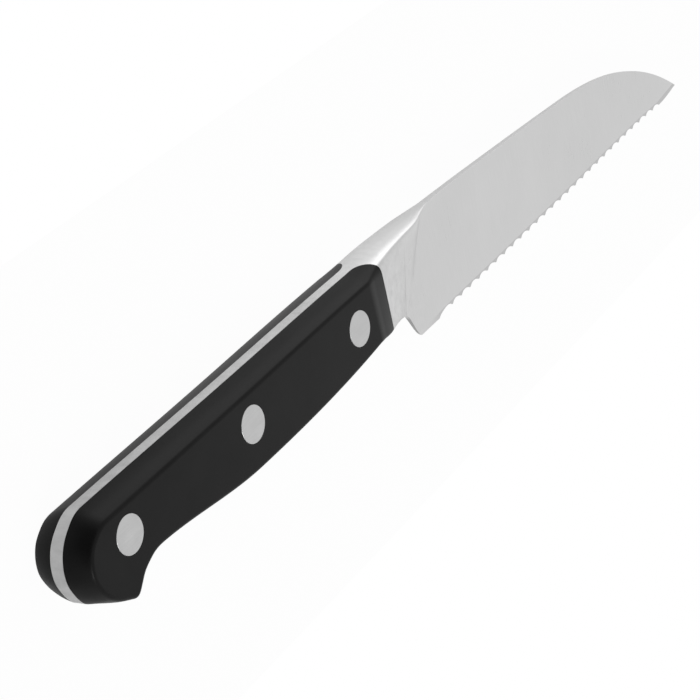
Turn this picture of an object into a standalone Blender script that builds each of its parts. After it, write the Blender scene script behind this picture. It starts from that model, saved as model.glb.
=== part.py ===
"""A forged utility knife with a scalloped edge, lying on the left side of its handle.

One steel forging is blade, bolster and full tang. Two scales are held to the tang by three
cutler's rivets, each a solid half driven into a hollow half. The knife is drawn with +X to
the tip, +Y to the back and +Z to its right side, from the middle rivet's axis, and an empty
then sets it on the ground under the middle of its box. Lengths below are in millimetres.
"""
import math

import bmesh
import bpy
from mathutils import Vector

MM = 0.001
GAP = 0.3                    # clearance between pieces that touch on the real knife

# Rivets
RIVET_SPACING = 37.2
HEAD_DIAMETER = 7.0
HEAD_THICKNESS = 2.4
SLEEVE_FLOOR = 0.7           # left under the pin in the hollow half's shank
SLEEVE_DIAMETER = 4.8
PIN_DIAMETER = 3.0

# Handle, along the knife
BUTT_OVERHANG = 10.5         # rear rivet to the butt of the side face
HOOK_OVERHANG = 2.3          # rear rivet to the tip of the hook
HOLLOW_SETBACK = 7.7         # rear rivet to the top of the little finger's hollow
BELLY_SETBACK = 0.5          # middle rivet back to the deepest part of the belly
NOSE_OVERHANG = 5.8          # front rivet to where the sides begin to taper
FRONT_OVERHANG = 12.5        # front rivet to the scales' front end
FRONT_LEAN = 3.0             # degrees the front end leans back toward the butt, going up

# Handle, heights of the flat side face from the line of the rivets
BACK_AT_REAR = 5.12
BACK_AT_MIDDLE = 5.7
BACK_AT_NOSE = 6.43
HOOK_DEPTH = 10.55
HOLLOW_DEPTH = 5.85
BELLY_DEPTH = 8.33
NOSE_DEPTH = 6.05
BUTT_CORNER = 6.4            # how far the rounding between back and butt reaches
HOOK_ROUNDING = 1.1          # how far the rounding at the hook's tip reaches each way

# Handle, thickness and facets
HANDLE_THICKNESS = 12.2
TANG_THICKNESS = 2.3
TANG_AT_BUTT = 2.6           # the tang is thicker over the last of its length
TANG_FLARE = 7.2             # length of that stretch
FACET_DROP_REAR = 1.97        # from the tang's back down to the side face, behind
FACET_DROP_FRONT = 1.65      # the same at the nose
FACET_DROP_BUTT = 1.6
FACET_DROP_BELLY = 0.7       # the underside is squarer than the back
FACET_CROWN = 0.035          # bulge of a facet's middle, as a share of the facet's width
FACET_ROUNDING = 0.6         # how far the rounding of the side face's rim reaches
TANG_FILLET = 4.5            # radius between the tang and the back of the bolster

# Bolster
BOLSTER_BELLY_LENGTH = 11.4  # scales' front end to the notch above the heel
BOLSTER_BACK_LENGTH = 28.7   # scales' front end to where the back becomes the blade's
BOLSTER_CROWN = 8.75         # highest point of the back
NOTCH_DEPTH = 9.2
NOTCH_THICKNESS = 1.1
WAIST_DEPTH = 7.35           # underside of the bolster at its thinnest

# Blade
BLADE_LENGTH = 130.0
HEEL_SETBACK = 3.7           # notch to the heel's corner
HEEL_DEPTH = 15.8
HEEL_ROUNDING = 0.9          # how far the rounding reaches past the heel's corner
HEEL_FLAT = 8.0              # plain edge behind the first scallop
FIRST_TOOTH = 5.9            # end of the plain edge to the first tooth's point
TIP_RISE = 2.9               # heel's edge up to the tip
SPINE_HEIGHT = 8.45          # height of the back where bolster and blade meet
SPINE_THICKNESS = 1.75
TIP_THICKNESS = 0.5
EDGE_THICKNESS = 0.24
TOOTH_PITCH = 3.94
TOOTH_DEPTH = 0.72
TOOTH_LAND = 0.35
TOOTH_SKEW = 0.8             # below 1 a scallop rises fast after its tooth and falls slowly
TOOTH_RISE = 0.41            # heel's edge up to the first teeth's points
GRIND_ANGLE = 79.0           # tilt of the ground scallops from square to the blade
PLAIN_TIP = 9.5              # at least this much unscalloped edge before the tip
TIP_BLUNTING = 0.3           # how much shorter than a sharp point the tip is

# Making
SPARE = 0.5                  # steel left below the teeth for the scallops to be ground from
BEYOND = 20.0                # how far a cutter reaches past the knife
FACET_MARGIN = 0.05          # the facets start this far outside the tang's sides
WELD = 0.02                  # points closer than this are one point

BUTT_X = -RIVET_SPACING - BUTT_OVERHANG
HOOK_X = -RIVET_SPACING - HOOK_OVERHANG
HOLLOW_X = -RIVET_SPACING + HOLLOW_SETBACK
NOSE_X = RIVET_SPACING + NOSE_OVERHANG
FRONT_X = RIVET_SPACING + FRONT_OVERHANG
NOTCH_X = FRONT_X + BOLSTER_BELLY_LENGTH
BACK_END_X = FRONT_X + BOLSTER_BACK_LENGTH
HEEL_X = NOTCH_X + HEEL_SETBACK
TIP_X = HEEL_X + BLADE_LENGTH
TEETH_X = HEEL_X + HEEL_FLAT
FIRST_TOOTH_X = TEETH_X + FIRST_TOOTH
TEETH = int((TIP_X - PLAIN_TIP - FIRST_TOOTH_X) / TOOTH_PITCH) + 1
LAST_TOOTH_X = FIRST_TOOTH_X + (TEETH - 1) * TOOTH_PITCH
HALF = HANDLE_THICKNESS / 2
TANG = TANG_THICKNESS / 2
TANG_END = TANG_AT_BUTT / 2
FLAT = TANG + FACET_MARGIN
TOOTH_LINE = HEEL_DEPTH - TOOTH_RISE
TIP_DEPTH = HEEL_DEPTH - TIP_RISE
tilt = math.radians(GRIND_ANGLE)


def blend(low, high, share):
    return low + (high - low) * share


def smooth(share):
    """Runs from 0 to 1 with soft ends."""
    share = min(1.0, max(0.0, share))
    return share * share * (3 - 2 * share)


def hermite(start, end, rate_start, rate_end, share):
    """Cubic between two values with the given rates of change over the stretch."""
    u = share
    return ((2 * u**3 - 3 * u**2 + 1) * start + (u**3 - 2 * u**2 + u) * rate_start
            + (3 * u**2 - 2 * u**3) * end + (u**3 - u**2) * rate_end)


def flow(knots, steps):
    """Smooth outline through knots (x, y, heading in degrees)."""
    points = []
    for (x0, y0, a0), (x1, y1, a1) in zip(knots, knots[1:]):
        reach = math.hypot(x1 - x0, y1 - y0)
        h0, h1 = math.radians(a0), math.radians(a1)
        for step in range(steps):
            u = step / steps
            points.append((
                hermite(x0, x1, reach * math.cos(h0), reach * math.cos(h1), u),
                hermite(y0, y1, reach * math.sin(h0), reach * math.sin(h1), u)))
    points.append(knots[-1][:2])
    return points


def rail(knots):
    """Height as a function of x through knots (x, height, slope)."""
    def height(x):
        for (x0, y0, s0), (x1, y1, s1) in zip(knots, knots[1:]):
            if x <= x1:
                span = x1 - x0
                return hermite(y0, y1, s0 * span, s1 * span, (x - x0) / span)
        return knots[-1][1]
    return height


def along_blade(share):
    return HEEL_X + share * BLADE_LENGTH


# Rails of the bolster and the blade, seen from the side

spine = rail([
    (NOSE_X, BACK_AT_NOSE + FACET_DROP_FRONT, 0.015),
    (blend(FRONT_X, BACK_END_X, 0.27), BOLSTER_CROWN, 0.003),
    (BACK_END_X, SPINE_HEIGHT, -0.025),
    (along_blade(0.34), blend(SPINE_HEIGHT, -TIP_DEPTH, 0.059), -0.048),
    (along_blade(0.56), blend(SPINE_HEIGHT, -TIP_DEPTH, 0.13), -0.058),
    (TIP_X, -TIP_DEPTH, -0.75)])

# The crease between bolster and blade climbs from the notch to the end of the bolster's back.
crease = rail([
    (NOTCH_X, -NOTCH_DEPTH, 1.0),
    (blend(NOTCH_X, BACK_END_X, 0.283), blend(-NOTCH_DEPTH, SPINE_HEIGHT, 0.323), 1.6),
    (blend(NOTCH_X, BACK_END_X, 0.665), blend(-NOTCH_DEPTH, SPINE_HEIGHT, 0.912), 1.4),
    (BACK_END_X, SPINE_HEIGHT, 0.05)])

tooth_line = rail([
    (TEETH_X, -TOOTH_LINE, 0.007),
    (along_blade(0.5), blend(-TOOTH_LINE, -TIP_DEPTH, 0.237), 0.0135),
    (along_blade(0.86), blend(-TOOTH_LINE, -TIP_DEPTH, 0.61), 0.0),
    (along_blade(0.935), blend(-TOOTH_LINE, -TIP_DEPTH, 0.546), 0.06),
    (TIP_X, -TIP_DEPTH, 0.2)])

underside = rail([
    (NOSE_X, -NOSE_DEPTH - FACET_DROP_BELLY, 0.05),
    (FRONT_X, -WAIST_DEPTH, 0.0),
    (NOTCH_X, -NOTCH_DEPTH, -0.35)])

heel = rail([
    (NOTCH_X, -NOTCH_DEPTH, -1.0),
    (blend(NOTCH_X, HEEL_X, 0.65), blend(-NOTCH_DEPTH, -HEEL_DEPTH, 0.67), -1.95),
    (HEEL_X + HEEL_ROUNDING, -HEEL_DEPTH, 0.0),
    (TEETH_X, -HEEL_DEPTH, 0.0)])

spine_half = rail([
    (NOSE_X, FLAT, 0.0),
    (blend(FRONT_X, BACK_END_X, 0.14), FLAT, -0.01),
    (BACK_END_X, SPINE_THICKNESS / 2, -0.018),
    (along_blade(0.3), blend(SPINE_THICKNESS, TIP_THICKNESS, 0.34) / 2, -0.003),
    (TIP_X, TIP_THICKNESS / 2, -0.008)])

side_half_back = rail([
    (NOSE_X, HALF, -0.14),
    (blend(NOSE_X, BACK_END_X, 0.45), blend(HALF, SPINE_THICKNESS / 2, 0.34), -0.1),
    (blend(NOSE_X, BACK_END_X, 0.68), blend(HALF, SPINE_THICKNESS / 2, 0.49), -0.14),
    (blend(NOSE_X, BACK_END_X, 0.8), blend(HALF, SPINE_THICKNESS / 2, 0.735), -0.33),
    (blend(NOSE_X, BACK_END_X, 0.92), blend(HALF, SPINE_THICKNESS / 2, 0.965), -0.1),
    (BACK_END_X, SPINE_THICKNESS / 2, -0.02)])

side_half_belly = rail([
    (NOSE_X, HALF, -0.18),
    (NOTCH_X, NOTCH_THICKNESS / 2, -0.42)])

FACET_SLOPE = FACET_DROP_FRONT / (HALF - FLAT)
CHAMFER_SLOPE = FACET_DROP_BELLY / (HALF - FLAT)


def edge_height(x):
    """Lower outline of the forging before the scallops are ground."""
    if x <= NOTCH_X:
        return underside(x)
    if x <= TEETH_X:
        return heel(x)
    # A little steel is left below the teeth for the scallops, and none at the plain tip.
    spare = SPARE * min(1.0, max(0.0, (LAST_TOOTH_X - x) / (TOOTH_PITCH / 2)))
    return max(-HEEL_DEPTH, tooth_line(x) - spare)


def blade_half(x, y):
    """Half the thickness of the ground blade: a wedge from the spine to the edge."""
    top = spine(x)
    bottom = -HEEL_DEPTH if x < TEETH_X else tooth_line(x)
    share = max(0.0, min(1.0, (y - bottom) / max(top - bottom, WELD)))
    return blend(EDGE_THICKNESS / 2, spine_half(x), share)


def heel_half(x):
    """Half the width of the face below the notch, which narrows down to the heel's edge."""
    share = min(1.0, (x - NOTCH_X) / (HEEL_X - NOTCH_X))
    return blend(NOTCH_THICKNESS, EDGE_THICKNESS, share) / 2


def crowned(start, end):
    """Middle of a facet between two points of a section, lifted by the facet's crown."""
    start, end = Vector(start), Vector(end)
    along = end - start
    return (start + end) / 2 + Vector((along.y, -along.x)) * FACET_CROWN


def rounded(before, corner, after, reach):
    """Replaces a corner of a section by four points on a round, in (height, depth)."""
    before, corner, after = Vector(before), Vector(corner), Vector(after)
    reach = min(reach, 0.45 * (before - corner).length, 0.45 * (after - corner).length)
    start = corner + (before - corner).normalized() * reach if reach else corner
    end = corner + (after - corner).normalized() * reach if reach else corner
    arc = []
    for step in range(4):
        u = step / 3
        arc.append(start * (1 - u)**2 + corner * 2 * u * (1 - u) + end * u**2)
    return [tuple(point) for point in arc]


def station(x):
    """Half a cross-section at x, from the back's middle round to the belly's middle."""
    top, bottom = spine(x), edge_height(x)
    w_spine = spine_half(x)
    w_back = side_half_back(x) if x < BACK_END_X else w_spine
    if w_back - w_spine < 4 * WELD:
        w_back = w_spine          # the facet runs out before it gets too narrow to weld
    back = top - FACET_SLOPE * (w_back - w_spine)
    w_belly = side_half_belly(x) if x < NOTCH_X else max(blade_half(x, bottom), heel_half(x))
    w_under = min(FLAT, w_belly)
    belly = bottom
    if x < NOTCH_X:
        belly += CHAMFER_SLOPE * (w_belly - w_under)
        share = 0.5 * (NOTCH_X - x) / (NOTCH_X - NOSE_X)
        side_mid = (blend(belly, back, share), blend(w_belly, w_back, share))
    else:
        bend = min(crease(x), back)
        side_mid = (bend, blade_half(x, bend))
    facet = crowned((top, w_spine), (back, w_back))
    upper = rounded(facet, (back, w_back), side_mid, FACET_ROUNDING)
    chamfer = crowned((belly, w_belly), (bottom, w_under))
    lower = rounded(side_mid, (belly, w_belly), chamfer, FACET_ROUNDING)
    # The side's middle point is the middle one of a section's fifteen.
    section = [(top, 0), (top, w_spine), facet, *upper, side_mid, *lower, chamfer,
               (bottom, w_under), (bottom, 0)]
    return [(x, y, z) for y, z in section]


def at_butt(forward, down):
    """A place in the butt's box: from the butt to the hook's tip, and from back to hook."""
    return blend(BUTT_X, HOOK_X, forward), blend(BACK_AT_REAR, -HOOK_DEPTH, down)


def at_hollow(forward, down):
    """A place between the hook's tip and the top of the hollow in front of it."""
    return blend(HOOK_X, HOLLOW_X, forward), blend(-HOLLOW_DEPTH, -HOOK_DEPTH, down)


def handle_outline():
    """Outline of the flat side face from the nose round the butt and back to the nose."""
    return flow([
        (NOSE_X, BACK_AT_NOSE, 180),
        (0, BACK_AT_MIDDLE, 181),
        (BUTT_X + BUTT_CORNER, BACK_AT_REAR, 181),
        (BUTT_X + 0.81 * BUTT_CORNER, BACK_AT_REAR - 0.022 * BUTT_CORNER, 192),
        (*at_butt(0.421, 0.056), 213.5),
        (*at_butt(0.204, 0.144), 226),
        (*at_butt(0.049, 0.283), 250),
        (*at_butt(0, 0.44), 270),
        (*at_butt(0.054, 0.57), 291),
        (*at_butt(0.167, 0.694), 303),
        (*at_butt(0.343, 0.813), 317),
        (*at_butt(0.585, 0.907), 332),
        (HOOK_X - HOOK_ROUNDING, -HOOK_DEPTH + 0.35 * HOOK_ROUNDING, 336.5),
        (HOOK_X, -HOOK_DEPTH, 0),
        (HOOK_X + HOOK_ROUNDING, -HOOK_DEPTH + 0.45 * HOOK_ROUNDING, 44),
        (*at_hollow(0.29, 0.505), 44),
        (*at_hollow(0.63, 0.1), 22),
        (*at_hollow(1, 0), 358),
        (-BELLY_SETBACK, -BELLY_DEPTH, 0),
        (NOSE_X, -NOSE_DEPTH, 7)], 6)


def handle_rings(outline):
    """Rings of the half handle from the tang's middle out to the rim of the side face."""
    last = len(outline) - 1
    rings = []
    for index, (x, y) in enumerate(outline):
        before = outline[max(index - 1, 0)]
        after = outline[min(index + 1, last)]
        along = Vector((after[0] - before[0], after[1] - before[1])).normalized()
        out = Vector((along.y, -along.x))
        if index in (0, last):
            out = Vector((0, 1 if index == 0 else -1))
        # The butt's facet turns into the back's at a corner, and softly into the belly's.
        drop = blend(FACET_DROP_REAR, FACET_DROP_FRONT, smooth((x + NOSE_X) / (2 * NOSE_X)))
        share = out.y**8
        if out.y < 0:
            drop = FACET_DROP_BELLY
            share = smooth((out.y**2 - 0.3) / 0.45)
        drop = blend(FACET_DROP_BUTT, drop, share)
        flat = blend(TANG_END + FACET_MARGIN, FLAT, share)
        facet = crowned((drop, flat), (0, HALF))
        arc = rounded(facet, (0, HALF), (-HALF, HALF), FACET_ROUNDING)
        ring = [(drop, 0), (drop, flat), facet, *arc]
        rings.append([(x + out.x * d, y + out.y * d, z) for d, z in ring])
    return rings


def stations():
    """Where the bolster's and the blade's cross-sections stand, closer where they change."""
    marks = [(NOSE_X, 2), (FRONT_X, 6), (NOTCH_X, 6), (HEEL_X, 3), (HEEL_X + HEEL_ROUNDING, 5),
             (TEETH_X, 4), (BACK_END_X, 4), (along_blade(0.5), 10),
             (LAST_TOOTH_X - TOOTH_PITCH / 2, 1), (LAST_TOOTH_X, 3), (TIP_X - TIP_BLUNTING, 1)]
    places = set()
    for (x, count), (end_x, _) in zip(marks, marks[1:]):
        places.update(blend(x, end_x, step / count) for step in range(count + 1))
    return sorted(places)


def blank_mesh():
    """The right half of the whole knife as one body, open at the middle plane."""
    mesh = bpy.data.meshes.new("knife_blank")
    bm = bmesh.new()
    sections = [[bm.verts.new(point) for point in station(x)] for x in stations()]
    for near, far in zip(sections, sections[1:]):
        for row in range(len(near) - 1):
            bm.faces.new((near[row], far[row], far[row + 1], near[row + 1]))
    bm.faces.new(sections[-1])
    rings = [[bm.verts.new(point) for point in ring] for ring in handle_rings(handle_outline())]
    for near, far in zip(rings, rings[1:]):
        for row in range(len(near) - 1):
            bm.faces.new((near[row], near[row + 1], far[row + 1], far[row]))
    bend = sections[0]
    bm.faces.new([ring[-1] for ring in rings] + [bend[len(bend) // 2]])
    bmesh.ops.remove_doubles(bm, verts=bm.verts, dist=WELD)
    bmesh.ops.recalc_face_normals(bm, faces=bm.faces)
    for vert in bm.verts:
        vert.co *= MM
    bm.to_mesh(mesh)
    bm.free()
    return mesh


for thing in list(bpy.data.objects):
    bpy.data.objects.remove(thing, do_unlink=True)

knife = bpy.data.collections.new("utility_knife")
tools = bpy.data.collections.new("utility_knife_cutters")
for group in (knife, tools):
    bpy.context.scene.collection.children.link(group)


def finish(name, grey, roughness, metallic):
    material = bpy.data.materials.new(name)
    material.use_nodes = True
    shader = material.node_tree.nodes["Principled BSDF"]
    shader.inputs["Base Color"].default_value = (grey, grey, grey, 1)
    shader.inputs["Roughness"].default_value = roughness
    shader.inputs["Metallic"].default_value = metallic
    return material


satin_steel = finish("satin_steel", 0.60, 0.32, 1.0)
rivet_steel = finish("rivet_steel", 0.52, 0.38, 1.0)
black_scale = finish("black_scale", 0.018, 0.38, 0.0)


def as_cutter(obj):
    obj.hide_render = True
    obj.display_type = 'WIRE'
    return obj


def prism(name, outline, depth):
    """A flat outline in millimetres made into a solid, half its depth to each side."""
    curve = bpy.data.curves.new(name, 'CURVE')
    curve.dimensions = '2D'
    curve.fill_mode = 'BOTH'
    curve.extrude = depth / 2 * MM
    spline = curve.splines.new('POLY')
    spline.points.add(len(outline) - 1)
    for point, (u, v) in zip(spline.points, outline):
        point.co = (u * MM, v * MM, 0, 1)
    spline.use_cyclic_u = True
    flat = bpy.data.objects.new(name + "_outline", curve)
    tools.objects.link(flat)
    bpy.context.view_layer.update()
    evaluated = flat.evaluated_get(bpy.context.evaluated_depsgraph_get())
    mesh = bpy.data.meshes.new_from_object(evaluated)
    bpy.data.objects.remove(flat, do_unlink=True)
    bm = bmesh.new()
    bm.from_mesh(mesh)
    bmesh.ops.remove_doubles(bm, verts=bm.verts, dist=0.000001)
    bmesh.ops.recalc_face_normals(bm, faces=bm.faces)
    bm.to_mesh(mesh)
    bm.free()
    solid = bpy.data.objects.new(name, mesh)
    tools.objects.link(solid)
    return as_cutter(solid)


def turned(name, profile, collection):
    """A solid of revolution about Z from a profile (radius, height) in millimetres."""
    mesh = bpy.data.meshes.new(name)
    bm = bmesh.new()
    ring = [bm.verts.new((radius * MM, 0, height * MM)) for radius, height in reversed(profile)]
    for low, high in zip(ring, ring[1:]):
        bm.edges.new((low, high))
    bm.to_mesh(mesh)
    bm.free()
    obj = bpy.data.objects.new(name, mesh)
    collection.objects.link(obj)
    screw = obj.modifiers.new("turn", 'SCREW')
    screw.steps = 32
    screw.render_steps = 32
    screw.merge_threshold = 0.00001
    screw.use_merge_vertices = True
    return obj


def carve(obj, operation, cutter):
    step = obj.modifiers.new(cutter.name, 'BOOLEAN')
    step.operation = operation
    step.solver = 'EXACT'
    step.object = cutter


def blank(name, mesh, material):
    """The whole knife's outer form, from which one piece is then carved."""
    obj = bpy.data.objects.new(name, mesh.copy())
    knife.objects.link(obj)
    obj.data.materials.append(material)
    mirror = obj.modifiers.new("other_side", 'MIRROR')
    mirror.use_axis = (False, False, True)
    mirror.use_clip = True
    mirror.merge_threshold = 0.00001
    return obj


def fillet_arc(radius):
    """Quarter round in plan between the tang and the back of the bolster."""
    x, z = FRONT_X - TANG_FILLET, TANG + TANG_FILLET
    angles = [math.radians(15 * step - 90) for step in range(7)]
    return [(x + radius * math.cos(angle), z + radius * math.sin(angle)) for angle in angles]


def room(name, plan):
    """The space that a piece takes up, from its plan seen along Y, with the front's lean."""
    space = prism(name, plan, 2 * (HEEL_DEPTH + BEYOND))
    space.rotation_euler = (math.radians(90), 0, math.radians(FRONT_LEAN))
    return space


def mirrored(plan):
    return [(x, -z) for x, z in reversed(plan)]


behind, outside, ahead = BUTT_X - BEYOND, HALF + BEYOND, TIP_X + BEYOND
flare_x = BUTT_X + TANG_FLARE
steel_plan = [(behind, TANG_END), (BUTT_X, TANG_END), (flare_x, TANG), *fillet_arc(TANG_FILLET),
              (FRONT_X, outside), (ahead, outside)]
scale_plan = [(behind, TANG_END + GAP), (BUTT_X, TANG_END + GAP), (flare_x, TANG + GAP),
              *fillet_arc(TANG_FILLET - GAP), (FRONT_X - GAP, outside), (behind, outside)]
steel_room = room("steel_room", steel_plan + mirrored(steel_plan))
right_room = room("right_scale_room", scale_plan)
left_room = room("left_scale_room", mirrored(scale_plan))


def scallops():
    """Lower edge with its scallops, as (x, y), from the end of the heel's plain edge."""
    # The grind is on the left side only, so it starts and ends this far below the blade.
    fade = EDGE_THICKNESS * math.tan(tilt) + SPARE / 5
    # The long first scallop is an arc up from the heel's plain edge and down to a tooth.
    top_x = blend(TEETH_X, FIRST_TOOTH_X, 0.68)
    top_y = tooth_line(top_x) + TOOTH_DEPTH
    bow = (top_y + HEEL_DEPTH) / (top_x - TEETH_X)**2
    start_x = top_x - math.sqrt((top_y + HEEL_DEPTH + fade) / bow)
    down_x = FIRST_TOOTH_X - TOOTH_LAND / 2
    edge = []
    for step in range(8):
        x = blend(start_x, top_x, step / 8)
        edge.append((x, top_y - bow * (top_x - x)**2))
    for step in range(3):
        edge.append((blend(top_x, down_x, step / 3), top_y - TOOTH_DEPTH * (step / 3)**2))
    edge.append((down_x, tooth_line(down_x)))
    for tooth in range(TEETH - 1):
        left = FIRST_TOOTH_X + tooth * TOOTH_PITCH + TOOTH_LAND / 2
        for step in range(9):
            share = step / 8
            x = left + (TOOTH_PITCH - TOOTH_LAND) * share
            turn = share**TOOTH_SKEW
            edge.append((x, tooth_line(x) + TOOTH_DEPTH * 4 * turn * (1 - turn)))
    edge.append((LAST_TOOTH_X + PLAIN_TIP / 3, tooth_line(LAST_TOOTH_X) - fade))
    return edge


# The grinding wheel passes along the tilt, so its profile is the edge as seen along it.
wheel_plan = [(x, y * math.cos(tilt) + EDGE_THICKNESS / 2 * math.sin(tilt)) for x, y in scallops()]
wheel_plan += [(wheel_plan[-1][0] + TOOTH_PITCH / 2, -BEYOND),
               (wheel_plan[0][0] - TOOTH_PITCH / 2, -BEYOND)]
wheel = prism("scallop_wheel", wheel_plan, 2 * (HEEL_DEPTH + BEYOND))
wheel.rotation_euler = (tilt, 0, 0)

body = blank_mesh()
forged_blade = blank("forged_blade", body, satin_steel)
right_scale = blank("right_scale", body, black_scale)
left_scale = blank("left_scale", body, black_scale)
carve(forged_blade, 'INTERSECT', steel_room)
carve(forged_blade, 'DIFFERENCE', wheel)
carve(right_scale, 'INTERSECT', right_room)
carve(left_scale, 'INTERSECT', left_room)

# Each rivet's pin half has its head on the right, and its sleeve half has its head on the left.
head = HEAD_DIAMETER / 2
sleeve = SLEEVE_DIAMETER / 2
pin = PIN_DIAMETER / 2
seat = HALF - HEAD_THICKNESS
sleeve_bottom = -seat + SLEEVE_FLOOR
pin_profile = [
    (0, sleeve_bottom + GAP), (pin, sleeve_bottom + GAP), (pin, seat), (head, seat),
    (head, HALF), (0, HALF)]
sleeve_profile = [
    (0, -HALF), (head, -HALF), (head, -seat), (sleeve, -seat), (sleeve, seat - GAP),
    (pin + GAP, seat - GAP), (pin + GAP, sleeve_bottom), (0, sleeve_bottom)]
hole_profile = [
    (0, -outside), (head + GAP, -outside), (head + GAP, GAP - seat), (sleeve + GAP, GAP - seat),
    (sleeve + GAP, seat - GAP), (head + GAP, seat - GAP), (head + GAP, outside), (0, outside)]

for place, x in (("front", RIVET_SPACING), ("middle", 0), ("rear", -RIVET_SPACING)):
    hole = as_cutter(turned(place + "_rivet_hole", hole_profile, tools))
    hole.location.x = x * MM
    for piece in (forged_blade, right_scale, left_scale):
        carve(piece, 'DIFFERENCE', hole)
    for half, profile in (("pin", pin_profile), ("sleeve", sleeve_profile)):
        rivet = turned(place + "_rivet_" + half, profile, knife)
        rivet.data.materials.append(rivet_steel)
        rivet.location.x = x * MM

base = bpy.data.objects.new("knife_base", None)
knife.objects.link(base)
for piece in [*knife.objects, *tools.objects]:
    if piece is not base:
        piece.parent = base

# The forging is the longest and the tallest piece, so its box gives the middle.
bpy.context.view_layer.update()
forging = forged_blade.evaluated_get(bpy.context.evaluated_depsgraph_get())
middle = sum((Vector(corner) for corner in forging.bound_box), Vector()) / 8
base.location = (-middle.x, -middle.y, HALF * MM)
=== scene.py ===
"""Looks of the forged utility knife: satin steel, black scales and ground rivets.

The outer form repeats the part's own rails and sizes with finer steps and rounder edges.
Shapes are worked out in millimetres from the middle rivet's axis, with +X to the tip,
+Y to the back and +Z to the right side, and are then set in the frame's metres.
"""
import math

import bmesh
import bpy
from mathutils import Matrix, Vector


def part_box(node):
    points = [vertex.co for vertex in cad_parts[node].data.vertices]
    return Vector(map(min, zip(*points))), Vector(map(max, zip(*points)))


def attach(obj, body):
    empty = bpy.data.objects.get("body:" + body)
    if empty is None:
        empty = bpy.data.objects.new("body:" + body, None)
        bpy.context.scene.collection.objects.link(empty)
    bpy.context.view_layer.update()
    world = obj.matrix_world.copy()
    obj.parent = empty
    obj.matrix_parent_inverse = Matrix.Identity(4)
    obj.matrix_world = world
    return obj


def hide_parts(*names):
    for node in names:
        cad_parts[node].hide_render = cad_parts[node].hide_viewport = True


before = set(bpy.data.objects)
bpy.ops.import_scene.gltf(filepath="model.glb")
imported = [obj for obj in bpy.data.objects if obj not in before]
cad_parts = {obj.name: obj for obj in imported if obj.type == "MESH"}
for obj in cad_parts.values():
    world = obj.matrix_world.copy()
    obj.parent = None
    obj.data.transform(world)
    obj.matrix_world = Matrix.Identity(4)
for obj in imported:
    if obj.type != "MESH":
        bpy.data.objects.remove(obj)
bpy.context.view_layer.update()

MM = 0.001

# The middle rivet's axis and the middle plane give the origin of the shapes below.
rivet_low, rivet_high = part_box("middle_rivet_pin")
base_low, base_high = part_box("forged_blade")
ORIGIN = Vector(((rivet_low.x + rivet_high.x) / 2, (rivet_low.y + rivet_high.y) / 2,
                 (base_low.z + base_high.z) / 2))

# Rivets
RIVET_SPACING = 37.2
HEAD_DIAMETER = 7.0
HEAD_THICKNESS = 2.4
SLEEVE_DIAMETER = 4.8
PIN_DIAMETER = 3.0
PIN_SETBACK = 0.7            # from the pin's end to the sleeve's head
BORE_FLOOR = 0.6             # the sleeve's shank is solid for this length at its head
BORE_PLAY = 0.05             # between the pin and the sleeve's bore
RIVET_PLAY = 0.02            # between a rivet and its hole
RIM_EASE = 0.06              # height of the eased rim of a rivet's head
ROUND_SIDES = 96             # sides of a rivet and of its hole

# Handle, along the knife
BUTT_X = -47.7
HOOK_X = -39.5
HOLLOW_X = -29.5             # top of the little finger's hollow
BELLY_X = -0.5
NOSE_X = 43.0                # where the sides begin to taper
FRONT_X = 49.7               # the scales' front end
FRONT_LEAN = 3.0             # degrees the front end leans back toward the butt, going up

# Handle, heights of the flat side face from the line of the rivets
BACK_AT_REAR = 5.12
BACK_AT_MIDDLE = 5.7
BACK_AT_NOSE = 6.43
HOOK_DEPTH = 10.55
HOLLOW_DEPTH = 5.85
BELLY_DEPTH = 8.33
NOSE_DEPTH = 6.05
BUTT_CORNER = 6.4            # how far the rounding between back and butt reaches
HOOK_ROUNDING = 1.1          # how far the rounding at the hook's tip reaches each way

# Handle, thickness and facets
HALF = 6.1                   # half the handle's thickness
TANG = 1.15                  # half the tang's thickness
TANG_END = 1.3               # the same at the butt
TANG_FLARE = 7.2             # length over which the tang thickens
TANG_FILLET = 4.5            # radius between the tang and the back of the bolster
SEAM = 0.03                  # hairline between steel and scale
FACET_MARGIN = 0.05          # the facets start this far outside the tang's sides
FLAT = TANG + FACET_MARGIN
FACET_DROP_REAR = 1.97       # from the tang's back down to the side face, behind
FACET_DROP_FRONT = 1.65      # the same at the nose
FACET_DROP_BUTT = 1.6
FACET_DROP_BELLY = 0.7       # the underside is squarer than the back
FACET_CROWN = 0.035          # bulge of a facet's middle, as a share of the facet's width
FACET_ROUNDING = 0.6         # how far the rounding of the side face's rim reaches
STRIP_ROUNDING = 0.05        # the same where a facet meets the strip of the tang
NOSE_BEND = 3.0              # length over which the sides turn in at the nose

# Bolster
NOTCH_X = 61.1
BACK_END_X = 78.4            # where the bolster's back becomes the blade's
BOLSTER_CROWN = 8.75         # highest point of the back
BOLSTER_ROUNDING = (1.1, 1.7)    # reach of its rim's rounding on the facet and on the side
BOLSTER_STRIP_ROUNDING = 0.7     # the same where its facets meet the middle of the back
NOTCH_DEPTH = 9.2
NOTCH_THICKNESS = 1.1
WAIST_DEPTH = 7.35           # underside of the bolster at its thinnest

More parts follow.
